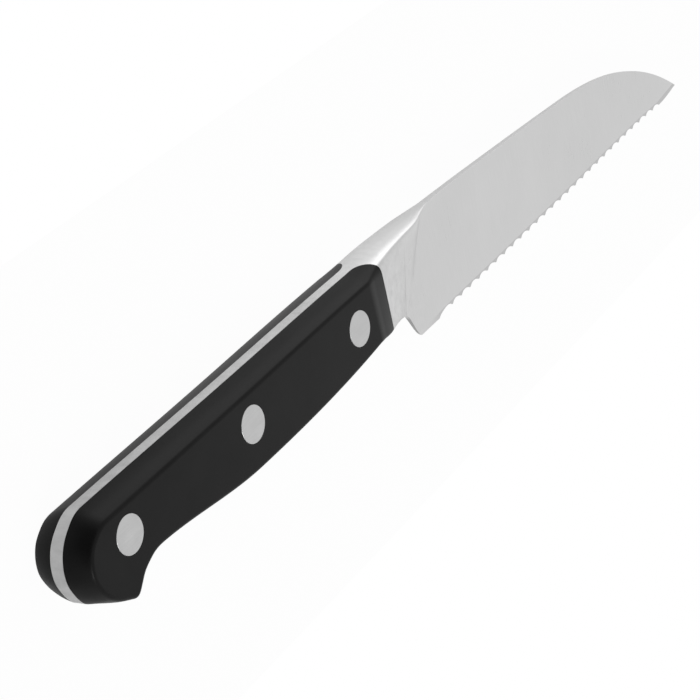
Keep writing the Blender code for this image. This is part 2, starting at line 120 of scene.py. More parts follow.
# Blade
HEEL_X = 64.8
TEETH_X = 72.8               # end of the plain edge at the heel
FIRST_TOOTH_X = 78.7
TIP_X = 194.8
BLADE_LENGTH = 130.0
HEEL_DEPTH = 15.8
HEEL_ROUNDING = 0.9          # how far the rounding reaches past the heel's corner
HEEL_BAND = 1.5              # height of the rows above the edge where it has no bevel
TIP_DEPTH = 12.9
TIP_BLUNTING = 0.3           # how much shorter than a sharp point the tip is
SPINE_HEIGHT = 8.45          # height of the back where bolster and blade meet
SPINE_THICKNESS = 1.75
SPINE_EASE = 0.12            # the ground spine's edges are barely broken
TIP_THICKNESS = 0.5
EDGE_THICKNESS = 0.24
TOOTH_LINE = 15.39           # depth of the first teeth's points
TOOTH_PITCH = 3.94
TOOTH_DEPTH = 0.72
TOOTH_LAND = 0.35
TOOTH_SKEW = 0.8             # below 1 a scallop rises fast after its tooth and falls slowly
TEETH = 28
LAST_TOOTH_X = FIRST_TOOTH_X + (TEETH - 1) * TOOTH_PITCH
GRIND_ANGLE = 79.0           # tilt of the ground scallops from square to the blade
GRIND_END = 1.2              # the grinding fades out this far past the last tooth
HONED_HEIGHT = 1.15          # height of the right side's plain bevel, above the teeth's points
HONED_EDGE = 0.013           # half the width left at the edge itself
HONED_START = 1.2            # the bevel has its full height this far in front of the heel

# Making
ROUND_STEPS = (5, 7, 9)      # points at the strip's edge, over the facet and round the rim
SIDE_ROWS = 5                # rows over the side, above its middle line and again below it
BAND_ROWS = 6                # rows in the ground band above the edge
SCALLOP_STEPS = 14           # cross-sections from one tooth to the next
TIP_STEPS = 30               # the same from the last tooth to the tip
CREASE_ANGLE = 28            # edges that turn by more degrees than this are crisp
BEYOND = 20.0                # how far a cutter reaches past the knife


# Lines and surfaces

def blend(low, high, share):
    return low + (high - low) * share


def smooth(share):
    share = min(1.0, max(0.0, share))
    return share * share * (3 - 2 * share)


def hermite(start, end, rate_start, rate_end, u):
    return ((2 * u**3 - 3 * u**2 + 1) * start + (u**3 - 2 * u**2 + u) * rate_start
            + (3 * u**2 - 2 * u**3) * end + (u**3 - u**2) * rate_end)


def flow(knots, most):
    """Smooth outline through knots (x, y, heading in degrees).

    Its points are half a millimetre apart, with 3 or more to a stretch, up to the given most.
    """
    points = []
    for (x0, y0, a0), (x1, y1, a1) in zip(knots, knots[1:]):
        reach = math.hypot(x1 - x0, y1 - y0)
        h0, h1 = math.radians(a0), math.radians(a1)
        count = max(3, min(most, math.ceil(reach / 0.5)))
        for step in range(count):
            u = step / count
            points.append((
                hermite(x0, x1, reach * math.cos(h0), reach * math.cos(h1), u),
                hermite(y0, y1, reach * math.sin(h0), reach * math.sin(h1), u)))
    points.append(knots[-1][:2])
    return points


def rail(knots):
    """Height as a function of x through knots (x, height, slope)."""
    def height(x):
        for (x0, y0, s0), (x1, y1, s1) in zip(knots, knots[1:]):
            if x <= x1:
                span = x1 - x0
                return hermite(y0, y1, s0 * span, s1 * span, (x - x0) / span)
        return knots[-1][1]
    return height


def along_blade(share):
    return HEEL_X + share * BLADE_LENGTH


spine = rail([
    (NOSE_X, BACK_AT_NOSE + FACET_DROP_FRONT, 0.015),
    (blend(FRONT_X, BACK_END_X, 0.27), BOLSTER_CROWN, 0.003),
    (BACK_END_X, SPINE_HEIGHT, -0.025),
    (along_blade(0.34), blend(SPINE_HEIGHT, -TIP_DEPTH, 0.059), -0.048),
    (along_blade(0.56), blend(SPINE_HEIGHT, -TIP_DEPTH, 0.13), -0.058),
    (TIP_X, -TIP_DEPTH, -0.75)])

crease = rail([
    (NOTCH_X, -NOTCH_DEPTH, 1.0),
    (blend(NOTCH_X, BACK_END_X, 0.283), blend(-NOTCH_DEPTH, SPINE_HEIGHT, 0.323), 1.6),
    (blend(NOTCH_X, BACK_END_X, 0.665), blend(-NOTCH_DEPTH, SPINE_HEIGHT, 0.912), 1.4),
    (BACK_END_X, SPINE_HEIGHT, 0.05)])

tooth_line = rail([
    (TEETH_X, -TOOTH_LINE, 0.007),
    (along_blade(0.5), blend(-TOOTH_LINE, -TIP_DEPTH, 0.237), 0.0135),
    (along_blade(0.86), blend(-TOOTH_LINE, -TIP_DEPTH, 0.61), 0.0),
    (along_blade(0.935), blend(-TOOTH_LINE, -TIP_DEPTH, 0.546), 0.06),
    (TIP_X, -TIP_DEPTH, 0.2)])

underside = rail([
    (NOSE_X, -NOSE_DEPTH - FACET_DROP_BELLY, 0.05),
    (FRONT_X, -WAIST_DEPTH, 0.0),
    (NOTCH_X, -NOTCH_DEPTH, -0.35)])

heel = rail([
    (NOTCH_X, -NOTCH_DEPTH, -1.0),
    (blend(NOTCH_X, HEEL_X, 0.65), blend(-NOTCH_DEPTH, -HEEL_DEPTH, 0.67), -1.95),
    (HEEL_X + HEEL_ROUNDING, -HEEL_DEPTH, 0.0),
    (TEETH_X, -HEEL_DEPTH, 0.0)])

spine_half = rail([
    (NOSE_X, FLAT, 0.0),
    (blend(FRONT_X, BACK_END_X, 0.14), FLAT, -0.01),
    (BACK_END_X, SPINE_THICKNESS / 2, -0.018),
    (along_blade(0.3), blend(SPINE_THICKNESS, TIP_THICKNESS, 0.34) / 2, -0.003),
    (TIP_X, TIP_THICKNESS / 2, -0.008)])

side_half_back = rail([
    (NOSE_X, HALF, 0.0),
    (NOSE_X + NOSE_BEND, HALF - 0.13 * NOSE_BEND, -0.13),
    (blend(NOSE_X, BACK_END_X, 0.45), blend(HALF, SPINE_THICKNESS / 2, 0.34), -0.1),
    (blend(NOSE_X, BACK_END_X, 0.68), blend(HALF, SPINE_THICKNESS / 2, 0.49), -0.14),
    (blend(NOSE_X, BACK_END_X, 0.8), blend(HALF, SPINE_THICKNESS / 2, 0.735), -0.33),
    (blend(NOSE_X, BACK_END_X, 0.92), blend(HALF, SPINE_THICKNESS / 2, 0.965), -0.1),
    (BACK_END_X, SPINE_THICKNESS / 2, -0.02)])

side_half_belly = rail([
    (NOSE_X, HALF, 0.0),
    (NOSE_X + NOSE_BEND, HALF - 0.18 * NOSE_BEND, -0.2),
    (NOTCH_X, NOTCH_THICKNESS / 2, -0.42)])

FACET_SLOPE = FACET_DROP_FRONT / (HALF - FLAT)
CHAMFER_SLOPE = FACET_DROP_BELLY / (HALF - FLAT)
TILT = math.tan(math.radians(GRIND_ANGLE))


def first_scallop(x):
    """The edge from the heel's plain part over the long first scallop to the first tooth."""
    top_x = blend(TEETH_X, FIRST_TOOTH_X, 0.68)
    top_y = tooth_line(top_x) + TOOTH_DEPTH
    down_x = FIRST_TOOTH_X - TOOTH_LAND / 2
    if x <= top_x:
        bow = (top_y + HEEL_DEPTH) / (top_x - TEETH_X)**2
        return top_y - bow * (top_x - x)**2
    return top_y - TOOTH_DEPTH * min(1.0, (x - top_x) / (down_x - top_x))**2


def edge_height(x):
    """Lower outline of the forging, before the scallops between the teeth are ground."""
    if x <= NOTCH_X:
        return underside(x)
    if x <= TEETH_X:
        return heel(x)
    if x < FIRST_TOOTH_X:
        return first_scallop(x)
    return tooth_line(x)


def blade_half(x, y):
    """Half the thickness of the ground blade: a wedge from the spine to the edge."""
    top = spine(x)
    bottom = -HEEL_DEPTH if x < TEETH_X else tooth_line(x)
    share = max(0.0, min(1.0, (y - bottom) / max(top - bottom, 0.02)))
    return blend(EDGE_THICKNESS / 2, spine_half(x), share)


def heel_half(x):
    """Half the width of the face below the notch, which narrows down to the heel's edge."""
    share = min(1.0, (x - NOTCH_X) / (HEEL_X - NOTCH_X))
    return blend(NOTCH_THICKNESS, EDGE_THICKNESS, share) / 2


def ground(x):
    """1 where the left side is hollow ground for the scallops, 0 where the edge is plain."""
    full_x = blend(TEETH_X, FIRST_TOOTH_X, 0.3)
    end_x = LAST_TOOTH_X + GRIND_END
    return smooth((x - TEETH_X) / (full_x - TEETH_X)) * smooth((end_x - x) / GRIND_END)


def honed_top(x):
    """Top of the plain bevel, which runs straight on above the teeth."""
    share = smooth((x - HEEL_X) / (FIRST_TOOTH_X - HEEL_X))
    return blend(-HEEL_DEPTH, tooth_line(x), share) + HONED_HEIGHT


def eased(path, reaches, steps):
    """A path of (height, depth) with rounds at its inner corners.

    A reach is how far a round goes back and on from its corner. A corner without one is
    rounded all the way between its neighbours' rounds, which makes a crowned facet.
    """
    path = [Vector(point) for point in path]
    ends = []
    for before, corner, after, reach in zip(path, path[1:], path[2:], reaches):
        ends.append(reach and tuple(
            corner.lerp(other, min(length / max((other - corner).length, 1e-6), 0.48))
            for other, length in zip((before, after), reach)))
    line = [path[0]]
    for index, count in enumerate(steps):
        corner = path[index + 1]
        start, end = ends[index] or (ends[index - 1][1], ends[index + 1][0])
        for step in range(count):
            u = step / (count - 1) if ends[index] else (step + 1) / (count + 1)
            line.append(start * (1 - u)**2 + corner * 2 * u * (1 - u) + end * u**2)
    line.append(path[-1])
    return line


def crest(start, end):
    """Where the tangents of a crowned facet's two ends meet."""
    start, end = Vector(start), Vector(end)
    along = end - start
    return (start + end) / 2 + Vector((along.y, -along.x)) * 2 * FACET_CROWN


def spread(first, last, count):
    """Points between two ends, without them."""
    return [first.lerp(last, (step + 1) / (count + 1)) for step in range(count)]


def section(x, right):
    """Half a cross-section at x from back to belly, as (height, depth, lift, swell).

    Where a scallop is ground, a row rises by lift and its depth grows by swell times that.
    """
    top, bottom, w_top = spine(x), edge_height(x), spine_half(x)
    bolster = smooth((x - NOSE_X) / (FRONT_X - NOSE_X))
    facet = (side_half_back(x) if x < BACK_END_X else w_top) - w_top
    back = top - max(FACET_SLOPE * facet, min(SPINE_EASE, (top - bottom) / 8))
    w_back = (w_top if x < NOTCH_X else blade_half(x, back)) + facet
    if x < NOTCH_X:
        side, lower = rows_to_belly(x, back, w_back)
    else:
        side, lower = rows_to_edge(x, back, right)
    strip = blend(blend(STRIP_ROUNDING, BOLSTER_STRIP_ROUNDING, bolster), SPINE_EASE / 2,
                  smooth((x - NOTCH_X) / (BACK_END_X - NOTCH_X)))
    rim = [blend(FACET_ROUNDING, reach, bolster) for reach in BOLSTER_ROUNDING]
    above = [(top, 0), (top, w_top), crest((top, w_top), (back, w_back)), (back, w_back), side]
    upper = eased(above, ((strip, strip), None, rim), ROUND_STEPS)[:-1]
    upper += spread(upper[-1], side, SIDE_ROWS - 1) + [side]
    return [(*point, 0, 0) for point in upper] + lower


def rows_to_belly(x, back, w_back):
    """Behind the notch: the middle of the side, and the rows from there to the belly."""
    bottom, w_belly = edge_height(x), side_half_belly(x)
    w_under = min(FLAT, w_belly)
    belly = bottom + CHAMFER_SLOPE * (w_belly - w_under)
    share = 0.5 * (NOTCH_X - x) / (NOTCH_X - NOSE_X)
    side = Vector((blend(belly, back, share), blend(w_belly, w_back, share)))
    below = [side, (belly, w_belly), crest((belly, w_belly), (bottom, w_under)),
             (bottom, w_under), (bottom, 0)]
    reaches = ((FACET_ROUNDING, FACET_ROUNDING), None, (STRIP_ROUNDING, STRIP_ROUNDING))
    lower = eased(below, reaches, ROUND_STEPS[::-1])[1:]
    return side, [(*point, 0, 0) for point in spread(side, lower[0], SIDE_ROWS) + lower]


def rows_to_edge(x, back, right):
    """In front of the notch: the crease of the side, and the rows from there to the edge.

    The bevel is plain on the right side, and the left side is ground up from the same edge.
    """
    top, bottom = spine(x), edge_height(x)
    tall = top - bottom
    # Past the bolster the crease has run out, and its row sinks into the plain side.
    bend = min(crease(x), back - 0.3 * (back - bottom) * smooth((x - BACK_END_X) / 30))
    side = Vector((bend, blade_half(x, bend)))
    hone = smooth((x - HEEL_X) / HONED_START)
    cut = ground(x) if x > TEETH_X else 0.0
    wedge = (spine_half(x) - EDGE_THICKNESS / 2) / max(tall, 0.02)
    bevel = (blade_half(x, honed_top(x)) - HONED_EDGE) / HONED_HEIGHT
    risen = max(0.0, bottom - tooth_line(x)) * cut
    height = honed_top(x) - bottom
    if right:
        swell, top_lift, top_swell = bevel, 0, 0
    else:
        climb = (1 + TILT * bevel) / (1 - TILT * wedge)
        swell, top_lift, top_swell = -bevel, climb, wedge * climb
        hollow = TILT * EDGE_THICKNESS / 2 / (1 - TILT * wedge)
        height = blend(height, hollow + (climb - 1) * risen, cut)
    band = min(blend(HEEL_BAND, height, hone), 0.3 * tall)
    middle = swell * risen
    edge = Vector((bottom, blend(heel_half(x), HONED_EDGE, hone) + middle))
    band_top = Vector((bottom + band, blade_half(x, bottom + band)))
    rows = [(*point, 0, 0) for point in spread(side, band_top, SIDE_ROWS)]
    for step in range(BAND_ROWS + 1):
        share = step / BAND_ROWS
        depth = blend(band_top.y, edge.y, blend(share * share, share, hone))
        rows.append((band_top.lerp(edge, share).x, depth,
                     blend(top_lift, 1, share), blend(top_swell, swell, share)))
    rows += [(*edge, 1, swell)] * (sum(ROUND_STEPS) - BAND_ROWS - 1)
    return side, rows + [(bottom, middle, 1, swell)]


def at_butt(forward, down):
    """A place in the butt's box: from the butt to the hook's tip, and from back to hook."""
    return blend(BUTT_X, HOOK_X, forward), blend(BACK_AT_REAR, -HOOK_DEPTH, down)


def at_hollow(forward, down):
    """The same in the box between the hook's tip and the top of the hollow."""
    return blend(HOOK_X, HOLLOW_X, forward), blend(-HOLLOW_DEPTH, -HOOK_DEPTH, down)


def handle_outline():
    """Outline of the flat side face from the nose round the butt and back to the nose."""
    return flow([
        (NOSE_X, BACK_AT_NOSE, 180),
        (0, BACK_AT_MIDDLE, 181),
        (BUTT_X + BUTT_CORNER, BACK_AT_REAR, 181),
        (BUTT_X + 0.81 * BUTT_CORNER, BACK_AT_REAR - 0.022 * BUTT_CORNER, 192),
        (*at_butt(0.421, 0.056), 213.5),
        (*at_butt(0.204, 0.144), 226),
        (*at_butt(0.049, 0.283), 250),
        (*at_butt(0, 0.44), 270),
        (*at_butt(0.054, 0.57), 291),
        (*at_butt(0.167, 0.694), 303),
        (*at_butt(0.343, 0.813), 317),
        (*at_butt(0.585, 0.907), 332),
        (HOOK_X - HOOK_ROUNDING, -HOOK_DEPTH + 0.35 * HOOK_ROUNDING, 336.5),
        (HOOK_X, -HOOK_DEPTH, 0),
        (HOOK_X + HOOK_ROUNDING, -HOOK_DEPTH + 0.45 * HOOK_ROUNDING, 44),
        (*at_hollow(0.29, 0.505), 44),
        (*at_hollow(0.63, 0.1), 22),
        (*at_hollow(1, 0), 358),
        (BELLY_X, -BELLY_DEPTH, 0),
        (NOSE_X, -NOSE_DEPTH, 7)], 40)


def handle_rings():
    """Rings of half the handle from the middle plane out to the rim of the side face."""
    outline = handle_outline()
    last = len(outline) - 1
    rings = []
    for index, (x, y) in enumerate(outline):
        before = outline[max(index - 1, 0)]
        after = outline[min(index + 1, last)]
        out = Vector((after[1] - before[1], before[0] - after[0])).normalized()
        if index in (0, last):
            out = Vector((0, 1 if index == 0 else -1))
        drop = blend(FACET_DROP_REAR, FACET_DROP_FRONT, smooth((x + NOSE_X) / (2 * NOSE_X)))
        # The butt's facet turns into the back's at a corner, and softly into the belly's.
        share = out.y**8
        if out.y < 0:
            drop = FACET_DROP_BELLY
            share = smooth((out.y**2 - 0.3) / 0.45)
        drop = blend(FACET_DROP_BUTT, drop, share)
        flat = blend(TANG_END + FACET_MARGIN, FLAT, share)
        path = [(drop, 0), (drop, flat), crest((drop, flat), (0, HALF)), (0, HALF), (-HALF, HALF)]
        reaches = ((STRIP_ROUNDING, STRIP_ROUNDING), None, (FACET_ROUNDING, FACET_ROUNDING))
        ring = eased(path, reaches, ROUND_STEPS)[:-1]
        rings.append([(x + out.x * d, y + out.y * d, z) for d, z in ring])
    return rings


def stations():
    """Where the cross-sections stand: fine where the form turns, and in step with the teeth."""
    marks = [(NOSE_X, 28), (FRONT_X, 26), (NOTCH_X, 24), (HEEL_X, 8), (HEEL_X + HEEL_ROUNDING, 14),
             (TEETH_X, 28), (FIRST_TOOTH_X, 0)]
    for tooth in range(TEETH):
        x = FIRST_TOOTH_X + tooth * TOOTH_PITCH
        marks += [(x - TOOTH_LAND / 2, 1), (x + TOOTH_LAND / 2, SCALLOP_STEPS)]
    marks[-1] = (LAST_TOOTH_X + TOOTH_LAND / 2, TIP_STEPS)
    marks.append((TIP_X - TIP_BLUNTING, 0))
    places = set()
    for (x, count), (end_x, _) in zip(marks, marks[1:]):
        places.update(round(blend(x, end_x, step / count), 4) for step in range(count + 1) if count)
    return sorted(places)


# Making meshes

def mesh_from(bm, name):
    """A mesh in the frame's metres from a bmesh in millimetres."""
    bmesh.ops.transform(bm, matrix=Matrix.Translation(ORIGIN) @ Matrix.Scale(MM, 4), verts=bm.verts)
    mesh = bpy.data.meshes.new(name)
    bm.to_mesh(mesh)
    bm.free()
    return mesh


def new_object(name, data):
    obj = bpy.data.objects.new(name, data)
    bpy.context.scene.collection.objects.link(obj)
    return obj


def knife_form():
    """The whole outer form of the knife, closed, with what the scallops need on its points."""
    bm = bmesh.new()
    lift = bm.verts.layers.float.new("lift")
    swell = bm.verts.layers.float.new("swell")
    places = stations()
    for right in (True, False):
        depth_sign = 1 if right else -1
        sections = []
        for x in places:
            row_verts = []
            for height, depth, lifted, swelled in section(x, right):
                vert = bm.verts.new((x, height, depth * depth_sign))
                vert[lift] = lifted
                vert[swell] = swelled * depth_sign
                row_verts.append(vert)
            sections.append(row_verts)
        rings = [[bm.verts.new((x, y, z * depth_sign)) for x, y, z in ring]
                 for ring in handle_rings()]
        for rows in (sections, rings):
            for near, far in zip(rows, rows[1:]):
                for row in range(len(near) - 1):
                    bm.faces.new((near[row], far[row], far[row + 1], near[row + 1]))
        rim = [ring[-1] for ring in rings]
        bend = [vert for vert in reversed(sections[0]) if abs(vert.co.z) > HALF - 0.001
                and rim[-1].co.y + 0.01 < vert.co.y < rim[0].co.y - 0.01]
        bm.faces.new(rim + bend)
        bm.faces.new(sections[-1])
    bmesh.ops.remove_doubles(bm, verts=bm.verts, dist=0.002)
    bmesh.ops.dissolve_degenerate(bm, edges=bm.edges, dist=0.001)
    bmesh.ops.recalc_face_normals(bm, faces=bm.faces)
    return mesh_from(bm, "knife_form")


def swept(name, outline, turn, depth):
    """A cutter with a flat outline, half its depth to each side, then turned into place."""
    bm = bmesh.new()
    rings = [[bm.verts.new((u, v, end * depth / 2)) for u, v in outline] for end in (-1, 1)]
    bm.faces.new(rings[0])
    bm.faces.new(rings[1])
    for index in range(len(outline)):
        after = (index + 1) % len(outline)
        bm.faces.new((rings[0][index], rings[0][after], rings[1][after], rings[1][index]))
    bmesh.ops.recalc_face_normals(bm, faces=bm.faces)
    bmesh.ops.transform(bm, matrix=turn, verts=bm.verts)
    return new_object(name, mesh_from(bm, name))


def turned(name, profile, places, segments):
    """A cutter turned about Z from a profile (radius, height), once for each place along X."""
    bm = bmesh.new()
    for x in places:
        rings = []
        for step in range(segments):
            angle = 2 * math.pi * step / segments
            rings.append([bm.verts.new((x + r * math.cos(angle), r * math.sin(angle), z))
                          for r, z in profile])
        for near, far in zip(rings, rings[1:] + rings[:1]):
            for row in range(len(profile) - 1):
                bm.faces.new((near[row], far[row], far[row + 1], near[row + 1]))
    bmesh.ops.remove_doubles(bm, verts=bm.verts, dist=0.001)
    bmesh.ops.recalc_face_normals(bm, faces=bm.faces)
    return new_object(name, mesh_from(bm, name))


def carved(name, mesh, steps):
    """A piece of the knife's form after the given boolean steps, as a plain mesh."""
    obj = new_object(name, mesh.copy())
    for operation, cutter in steps:
        step = obj.modifiers.new(cutter.name, 'BOOLEAN')
        step.operation = operation
        step.solver = 'EXACT'
        step.object = cutter
    return settled(obj)


def settled(obj):
    """Turns what an object's modifiers make into its own mesh."""
    bpy.context.view_layer.update()
    evaluated = obj.evaluated_get(bpy.context.evaluated_depsgraph_get())
    mesh = bpy.data.meshes.new_from_object(evaluated)
    obj.modifiers.clear()
    obj.data = mesh
    return obj


def shade(obj):
    """Smooth shading with crisp edges, in which large flat faces stay flat."""
    obj.data.shade_smooth()
    obj.data.set_sharp_from_angle(angle=math.radians(CREASE_ANGLE))
    weighted = obj.modifiers.new("weighted", 'WEIGHTED_NORMAL')
    weighted.keep_sharp = True
    settled(obj)


# Node trees, for geometry and for finishes

class Wire:
    """A socket of a node tree that can be used in sums, each adding its Math node."""

    def __init__(self, tree, socket):
        self.tree, self.socket = tree, socket

    def result(self, operation, *values):
        return node(self.tree, 'ShaderNodeMath', {'operation': operation}, dict(enumerate(values)))

    def __add__(self, other):
        return self.result('ADD', self, other)

    def __sub__(self, other):
        return self.result('SUBTRACT', self, other)

    def __rsub__(self, other):
        return self.result('SUBTRACT', other, self)

    def __mul__(self, other):
        return self.result('MULTIPLY', self, other)

    def __truediv__(self, other):
        return self.result('DIVIDE', self, other)

    def __rtruediv__(self, other):
        return self.result('DIVIDE', other, self)

    def __pow__(self, other):
        return self.result('POWER', self, other)

    def __rpow__(self, other):
        return self.result('POWER', other, self)

    def __gt__(self, other):
        return self.result('GREATER_THAN', self, other)

    def __lt__(self, other):
        return self.result('LESS_THAN', self, other)

    def __floor__(self):
        return self.result('FLOOR', self)

    __radd__ = __add__
    __rmul__ = __mul__


def node(tree, kind, settings=None, sockets=None, output=0):
    """Adds a node and gives the wire of one output.

    Its settings are set first, with a ramp's stops as (place, grey), and then its sockets'
    values or links.
    """
    made = tree.nodes.new(kind)
    for name, value in (settings or {}).items():
        if name == 'stops':
            ramp = made.color_ramp.elements
            while len(ramp) < len(value):
                ramp.new(1.0)
            for element, (place, grey) in zip(ramp, value):
                element.position, element.color = place, (grey, grey, grey, 1)
        else:
            setattr(made, name, value)
    for key, value in (sockets or {}).items():
        socket = made.inputs[key]
        if isinstance(value, list):
            for wire in reversed(value):
                tree.links.new(wire.socket, socket)
        elif isinstance(value, Wire):
            tree.links.new(value.socket, socket)
        else:
            socket.default_value = value
    return Wire(tree, made.outputs[output])


def tree_with(name, inputs):
    """A Geometry Nodes tree with named inputs, as (tree, group input's wires by name)."""
    tree = bpy.data.node_groups.new(name, 'GeometryNodeTree')
    tree.interface.new_socket("Geometry", in_out='INPUT', socket_type='NodeSocketGeometry')
    for label, kind in inputs:
        tree.interface.new_socket(label, in_out='INPUT', socket_type='NodeSocket' + kind)
    tree.interface.new_socket("Geometry", in_out='OUTPUT', socket_type='NodeSocketGeometry')
    source = tree.nodes.new('NodeGroupInput')
    return tree, {socket.name: Wire(tree, socket) for socket in source.outputs if socket.name}


def end_tree(tree, geometry, material):
    whole = node(tree, 'GeometryNodeRealizeInstances', {}, {'Geometry': geometry})
    dressed = node(tree, 'GeometryNodeSetMaterial', {}, {'Geometry': whole, 'Material': material})
    result = tree.nodes.new('NodeGroupOutput')
    tree.links.new(dressed.socket, result.inputs["Geometry"])


def grow(obj, tree, values):
    """Runs a tree on an object with the given inputs and keeps the plain mesh."""
    modifier = obj.modifiers.new(tree.name, 'NODES')
    modifier.node_group = tree
    for item in tree.interface.items_tree:
        if item.in_out == 'INPUT' and item.name in values:
            modifier[item.identifier] = values[item.name]
    return settled(obj)


def vector(tree, x=0.0, y=0.0, z=0.0):
    return node(tree, 'ShaderNodeCombineXYZ', {}, {'X': x, 'Y': y, 'Z': z})


def scallop_tree():
    """Lifts the blade's lower rows into a row of ground scallops between equal teeth."""
    tree, given = tree_with("scallops", [
        ("First Tooth", 'Float'), ("Pitch", 'Float'), ("Land", 'Float'), ("Depth", 'Float'),
        ("Skew", 'Float'), ("Teeth", 'Int'), ("Steel", 'Material')])
    place = node(tree, 'GeometryNodeInputPosition')
    x = node(tree, 'ShaderNodeSeparateXYZ', {}, {'Vector': place})
    along = (x - given["First Tooth"]) / given["Pitch"]
    gap = given["Pitch"] - given["Land"]
    share = ((along - math.floor(along)) * given["Pitch"] - given["Land"] * 0.5) / gap
    share = node(tree, 'ShaderNodeClamp', {}, {'Value': share}) ** given["Skew"]
    between = (along > 0.0) * (along < given["Teeth"] - 1)
    rise = share * (1 - share) * 4 * given["Depth"] * between
    lift, swell = (node(tree, 'GeometryNodeInputNamedAttribute', {'data_type': 'FLOAT'},
                        {'Name': name}) for name in ("lift", "swell"))
    moved = node(tree, 'GeometryNodeSetPosition', {}, {
        'Geometry': given["Geometry"],
        'Offset': vector(tree, y=rise * lift, z=rise * swell)})
    end_tree(tree, moved, given["Steel"])
    return tree


def rivet_tree():
    """A row of equal rivet halves, heads up before they are turned."""
    tree, given = tree_with("rivet_halves", [
        ("Count", 'Int'), ("Spacing", 'Float'), ("Sides", 'Int'), ("Face Height", 'Float'),
        ("Head Diameter", 'Float'), ("Head Thickness", 'Float'), ("Rim Ease", 'Float'),
        ("Shank Diameter", 'Float'), ("Shank Length", 'Float'), ("Bore Diameter", 'Float'),
        ("Bore Floor", 'Float'), ("Hollow", 'Bool'), ("Turn", 'Float'), ("Steel", 'Material')])
    radius, ease = given["Head Diameter"] * 0.5, given["Rim Ease"]
    seat = given["Face Height"] - given["Head Thickness"]
    shank_end = seat - given["Shank Length"]

    def cylinder(wide, tall, base):
        body = node(tree, 'GeometryNodeMeshCylinder', {}, {
            'Vertices': given["Sides"], 'Radius': wide * 0.5, 'Depth': tall})
        return node(tree, 'GeometryNodeTransform', {}, {
            'Geometry': body, 'Translation': vector(tree, z=base + tall * 0.5)})

    head = cylinder(given["Head Diameter"], given["Head Thickness"] - ease, seat)
    rim = node(tree, 'GeometryNodeMeshCone', {}, {
        'Vertices': given["Sides"], 'Radius Top': radius - ease, 'Radius Bottom': radius,
        'Depth': ease})
    rim = node(tree, 'GeometryNodeTransform', {}, {
        'Geometry': rim, 'Translation': vector(tree, z=given["Face Height"] - ease)})
    shank = cylinder(given["Shank Diameter"], given["Shank Length"], shank_end)
    bore = cylinder(given["Bore Diameter"], given["Shank Length"], shank_end - given["Bore Floor"])
    bored = node(tree, 'GeometryNodeMeshBoolean', {'operation': 'DIFFERENCE', 'solver': 'EXACT'}, {
        'Mesh 1': shank, 'Mesh 2': bore})
    shank = node(tree, 'GeometryNodeSwitch', {'input_type': 'GEOMETRY'}, {
        'Switch': given["Hollow"], 'False': shank, 'True': bored})
    half = node(tree, 'GeometryNodeJoinGeometry', {}, {'Geometry': [head, rim, shank]})
    row = node(tree, 'GeometryNodeMeshLine', {}, {
        'Count': given["Count"], 'Start Location': vector(tree, x=given["Spacing"] * -1),
        'Offset': vector(tree, x=given["Spacing"])})
    placed = node(tree, 'GeometryNodeInstanceOnPoints', {}, {
        'Points': row, 'Instance': half, 'Rotation': vector(tree, x=given["Turn"])})
    end_tree(tree, placed, given["Steel"])
    return tree


# Finishes

def new_finish(name, **constants):
    """A material with one Principled shader whose unvarying sockets are set directly."""
    material = bpy.data.materials.new(name)
    material.use_nodes = True
    shader = material.node_tree.nodes["Principled BSDF"]
    for label, value in constants.items():
        shader.inputs[label.replace("_", " ")].default_value = value
    return material, material.node_tree, shader


def wire_in(shader, **wires):
    for label, wire in wires.items():
        wire.tree.links.new(wire.socket, shader.inputs[label.replace("_", " ")])


def pattern(tree, per_mm, detail=2.0, roughness=0.5):
    """Noise on Object coordinates with so many features per millimetre along X, Y and Z."""
    where = node(tree, 'ShaderNodeTexCoord', output='Object')
    stretched = node(tree, 'ShaderNodeMapping', {}, {
        'Vector': where, 'Scale': tuple(count / MM for count in per_mm)})
    return node(tree, 'ShaderNodeTexNoise', {}, {
        'Vector': stretched, 'Scale': 1.0, 'Detail': detail, 'Roughness': roughness})


def knife_axes(tree):
    """Places along X, Y and Z in the millimetres that the shapes are worked out in."""
    where = node(tree, 'ShaderNodeTexCoord', output='Object')
    apart = node(tree, 'ShaderNodeSeparateXYZ', {}, {0: where})
    return [(Wire(tree, socket) - start) * (1 / MM)
            for socket, start in zip(apart.socket.node.outputs, ORIGIN)]


def greys(share, *stops):
    """The greys of a ramp with stops (place, grey)."""
    return node(share.tree, 'ShaderNodeValToRGB', {'stops': stops}, {'Fac': share})


def soft_rise(place, start, end):
    """Rises from 0 to 1 between two values, and eases in and out."""
    return node(place.tree, 'ShaderNodeMapRange', {'interpolation_type': 'SMOOTHSTEP'}, {
        'Value': place, 'From Min': start, 'From Max': end})


def even_rise(place, start, end):
    """Rises from 0 to 1 between two values in a straight line."""
    return node(place.tree, 'ShaderNodeMapRange', {}, {
        'Value': place, 'From Min': start, 'From Max': end})


def under_line(along, across, line, start, end, fade):
    """1 below a line over the knife's side, from start to end along X, and 0 above it.

    A ramp along X holds the line, with greys from 0 to 1 for heights from low to 0.
    """
    low, count = -20.0, 12
    stops = [(step / count, 1 - line(blend(start, end, step / count)) / low)
             for step in range(count + 1)]
    height = greys(even_rise(along, start, end), *stops)
    return soft_rise(height - even_rise(across, low, 0.0), 0.0, -fade / low)


def bumps(height, depth):
    """Normals of a pattern that is so many millimetres deep."""
    return node(height.tree, 'ShaderNodeBump', {}, {
        'Height': height, 'Distance': depth * MM, 'Strength': 1.0})


